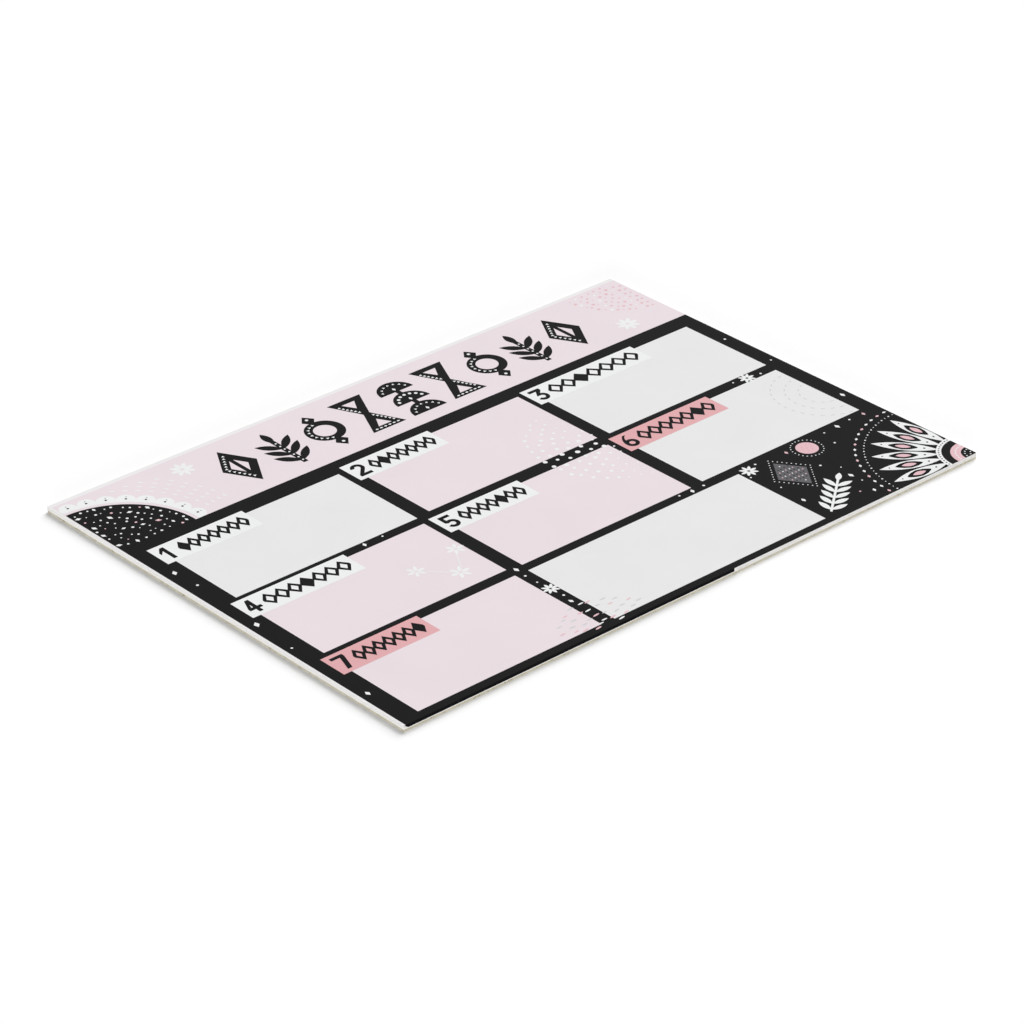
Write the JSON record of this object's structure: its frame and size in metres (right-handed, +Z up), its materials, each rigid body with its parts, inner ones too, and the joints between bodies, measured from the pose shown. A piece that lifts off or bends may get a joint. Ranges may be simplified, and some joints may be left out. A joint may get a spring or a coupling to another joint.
{
  "type": "desk planner",
  "caption": "Flat pad of large tear-off sheets glued along one long edge to a chipboard back, printed with a header band, day boxes with numbered tabs and a notes box.",
  "frame": {"origin": "under the middle of the pad, on the surface that it lies on", "axes": "+X along the lines of writing, +Y towards the header and the glued edge, +Z up out of the writing face"},
  "size_m": [0.42, 0.2974, 0.0037],
  "materials": {
    "sheet_paper": "uncoated white sheets with cut edges",
    "chipboard": "plain tan chipboard",
    "padding_glue": "brushed-on white padding glue",
    "print_black": "matte black ink on paper",
    "print_pink": "pale pink ink on paper",
    "print_grey": "pale grey ink on paper",
    "print_white": "unprinted paper showing between inks",
    "print_salmon": "salmon pink ink on paper",
    "print_rose": "rose pink ink on paper",
    "print_slate": "dark grey ink on paper"
  },
  "bodies": {
    "root": {"backing_board": "chipboard", "glue_binding": "padding_glue", "paper_block": "sheet_paper", "print_box_1": "print_grey", "print_box_2": "print_pink", "print_box_3": "print_grey", "print_box_4": "print_pink", "print_box_5": "print_pink", "print_box_6": "print_grey", "print_box_7": "print_pink", "print_box_notes": "print_grey", "print_chain_1": "print_black", "print_chain_2": "print_black", "print_chain_3": "print_black", "print_chain_4": "print_black", "print_chain_5": "print_black", "print_chain_6": "print_black", "print_chain_7": "print_black", "print_fan": "print_black", "print_frame": "print_black", "print_header": "print_pink", "print_mark_1_lozenge": "print_black", "print_mark_2_sprig": "print_black", "print_mark_3_medallion": "print_black", "print_mark_4_hourglass": "print_black", "print_mark_5_shell": "print_black", "print_mark_6_hourglass": "print_black", "print_mark_7_medallion": "print_black", "print_mark_8_sprig": "print_black", "print_mark_9_lozenge": "print_black", "print_number_1": "print_black", "print_number_2": "print_black", "print_number_3": "print_black", "print_number_4": "print_black", "print_number_5": "print_black", "print_number_6": "print_black", "print_number_7": "print_black", "print_panel_disc": "print_rose", "print_panel_lozenge": "print_slate", "print_panel_sprig": "print_white", "print_rosette_core": "print_rose", "print_rosette_petals": "print_white", "print_scallops": "print_white", "print_tab_1": "print_white", "print_tab_2": "print_white", "print_tab_3": "print_white", "print_tab_4": "print_white", "print_tab_5": "print_white", "print_tab_6": "print_salmon", "print_tab_7": "print_salmon"}
  },
  "joints": []
}
